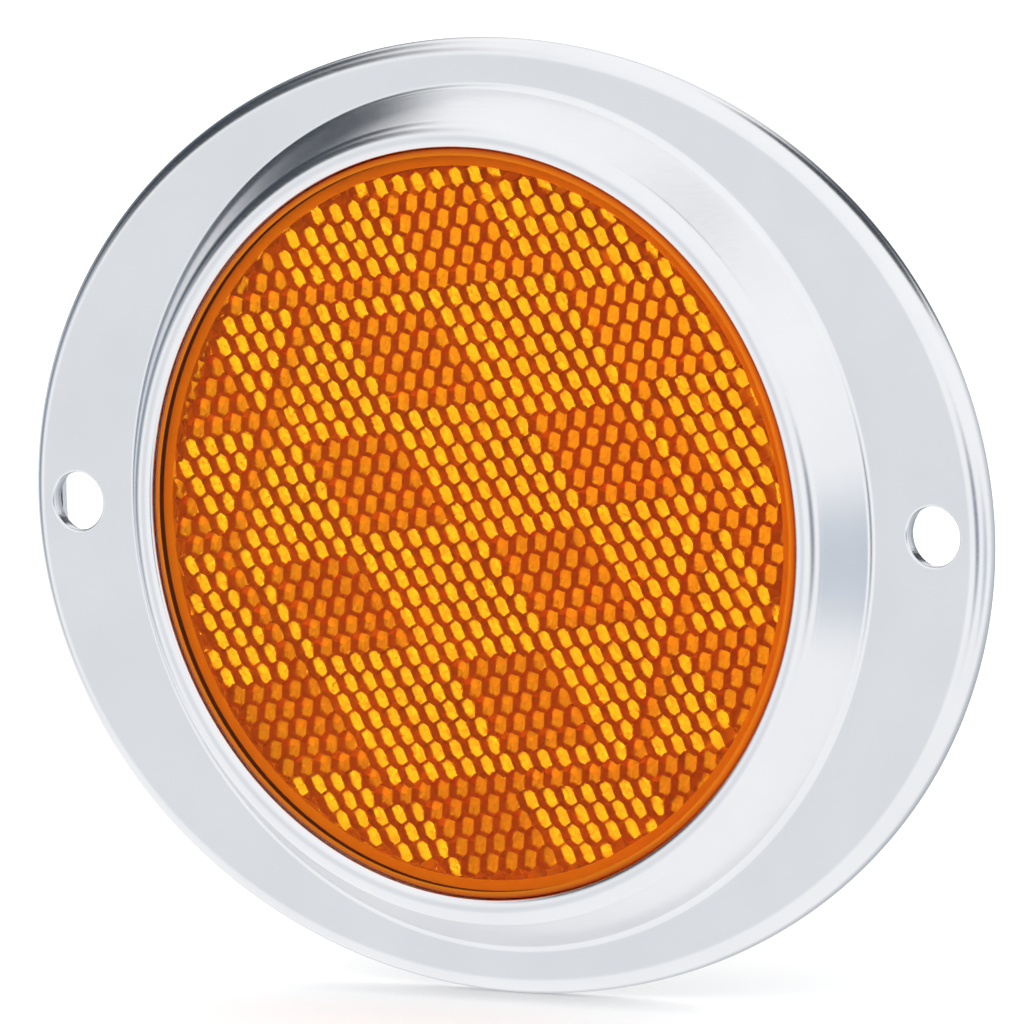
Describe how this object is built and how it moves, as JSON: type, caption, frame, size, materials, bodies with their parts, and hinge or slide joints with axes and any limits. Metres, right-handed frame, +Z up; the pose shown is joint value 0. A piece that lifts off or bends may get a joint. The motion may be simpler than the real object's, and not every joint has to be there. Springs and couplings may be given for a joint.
{
  "type": "round reflex reflector",
  "caption": "Round amber reflex reflector held in a bright aluminium cup with an oval hemmed flange and a screw hole in each ear, for fixing flat to a panel or post.",
  "frame": {"origin": "centre of the mounting plane, on the axis of the round lens, where the hemmed back edge of the housing lies on the panel (Y = 0)", "axes": "+X along the line of the two screw holes, +Z up, and the lens faces -Y, so +Y points into the panel"},
  "size_m": [0.1132, 0.0086, 0.0972],
  "materials": {
    "polished_aluminium": "polished drawn sheet, clear anodised",
    "amber_acrylic": "clear amber, glossy front, cube-corner facets behind",
    "white_silicone": "matte, translucent white",
    "white_abs": "moulded, satin",
    "grey_foam": "closed-cell foam",
    "zinc_steel": "zinc plated sheet"
  },
  "bodies": {
    "root": {"bezel_housing": "polished_aluminium", "lens_gasket": "white_silicone", "reflex_lens": "amber_acrylic", "lens_backing": "white_abs", "cushion_ring": "grey_foam", "base_plate": "zinc_steel"}
  },
  "joints": []
}
